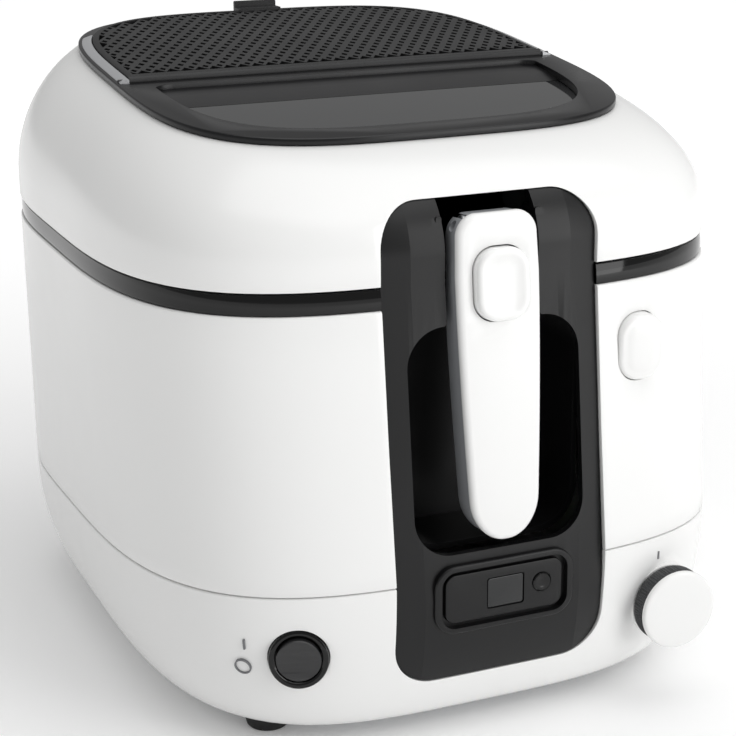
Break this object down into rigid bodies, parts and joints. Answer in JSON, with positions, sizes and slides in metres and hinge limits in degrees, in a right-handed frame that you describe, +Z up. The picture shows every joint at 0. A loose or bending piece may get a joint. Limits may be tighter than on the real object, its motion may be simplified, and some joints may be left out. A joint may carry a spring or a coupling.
{
  "type": "deep fryer",
  "caption": "Countertop deep fryer with a domed hinged lid and window, a folding front handle that raises its basket, a thermostat knob, a power rocker and a timer.",
  "frame": {"origin": "on the standing plane under the middle of the whole object's bounding box", "axes": "+Z up, -Y to the front where the handle is, +X to the user's right, where the thermostat knob is"},
  "size_m": [0.275, 0.3322, 0.2776],
  "materials": {
    "white_plastic": "glossy injection-moulded white plastic",
    "black_plastic": "satin black plastic",
    "textured_black": "black plastic with a fine diamond grain",
    "gloss_black": "polished black plastic",
    "grey_plastic": "satin mid-grey plastic",
    "knob_grip": "dark grey ribbed plastic",
    "foot_rubber": "moulded black rubber",
    "seal_silicone": "dark silicone",
    "smoked_glass": "smoke-tinted clear sheet",
    "grey_ceramic": "grey moulded housing",
    "steel": "drawn and pressed stainless steel",
    "aluminium": "pressed aluminium",
    "bowl_coating": "pressed aluminium with a black non-stick coating"
  },
  "bodies": {
    "housing": {"base_shell": "white_plastic", "base_plate": "steel", "foot_front_left": "foot_rubber", "foot_front_right": "foot_rubber", "foot_rear_left": "foot_rubber", "foot_rear_right": "foot_rubber", "base_screw_1": "steel", "base_screw_2": "steel", "base_screw_3": "steel", "base_screw_4": "steel", "body_shell": "white_plastic", "rim_band": "gloss_black", "hinge_pin": "steel", "front_panel": "black_plastic", "timer_plate": "black_plastic", "timer_display": "smoked_glass", "oil_bowl": "bowl_coating", "heat_shield": "steel", "heating_element": "steel", "thermal_cutout": "aluminium", "terminal_block": "grey_plastic", "cord_gland": "foot_rubber", "thermostat_body": "grey_ceramic", "switch_housing": "gloss_black"},
    "lid": {"lid_shell": "white_plastic", "lid_frame": "black_plastic", "window_pane": "smoked_glass", "steam_filter": "aluminium", "lid_liner": "aluminium", "lid_seal": "seal_silicone", "lid_catch": "grey_plastic"},
    "filter_cover": {"filter_cover": "textured_black"},
    "basket": {"basket": "steel", "basket_bracket": "steel", "handle_pin": "steel"},
    "handle": {"handle_cover": "white_plastic", "handle_core": "grey_plastic"},
    "handle_button": {"handle_button": "white_plastic"},
    "thermostat_knob": {"knob_cap": "white_plastic", "knob_skirt": "knob_grip", "knob_shaft": "steel"},
    "power_rocker": {"switch_rocker": "gloss_black"},
    "lid_release": {"release_button": "white_plastic", "lid_latch": "grey_plastic"},
    "timer_button": {"timer_button": "gloss_black"}
  },
  "joints": [
    {"name": "lid_hinge", "type": "hinge", "parent": "housing", "child": "lid", "pos_m": [0, 0.16107, 0.198], "axis": [-1, 0, 0], "range_deg": [0, 95]},
    {"name": "filter_cover_hinge", "type": "hinge", "parent": "lid", "child": "filter_cover", "pos_m": [0, 0.00642, 0.25949], "axis": [1, 0, 0], "range_deg": [0, 75]},
    {"name": "basket_lift", "type": "slide", "parent": "housing", "child": "basket", "axis": [0, 0, 1], "range_m": [0, 0.031]},
    {"name": "handle_fold", "type": "hinge", "parent": "basket", "child": "handle", "pos_m": [0, -0.14213, 0.2175], "axis": [-1, 0, 0], "range_deg": [0, 85]},
    {"name": "handle_button_press", "type": "slide", "parent": "handle", "child": "handle_button", "axis": [0, 0.9954, -0.0958], "range_m": [0, 0.002], "stiffness_N_per_m": 600, "springref_m": -0.001},
    {"name": "thermostat_turn", "type": "hinge", "parent": "housing", "child": "thermostat_knob", "pos_m": [0.0805, -0.16093, 0.0465], "axis": [0, 1, 0], "range_deg": [0, 270]},
    {"name": "power_rocker_tilt", "type": "hinge", "parent": "housing", "child": "power_rocker", "pos_m": [-0.086, -0.14938, 0.05], "axis": [-0.9272, 0.3746, 0], "range_deg": [0, 14]},
    {"name": "lid_release_press", "type": "slide", "parent": "housing", "child": "lid_release", "axis": [0, 1, 0], "range_m": [0, 0.003], "stiffness_N_per_m": 800, "springref_m": -0.001},
    {"name": "timer_button_press", "type": "slide", "parent": "housing", "child": "timer_button", "axis": [0, 1, 0], "range_m": [0, 0.0005], "stiffness_N_per_m": 900, "springref_m": -0.0003}
  ]
}
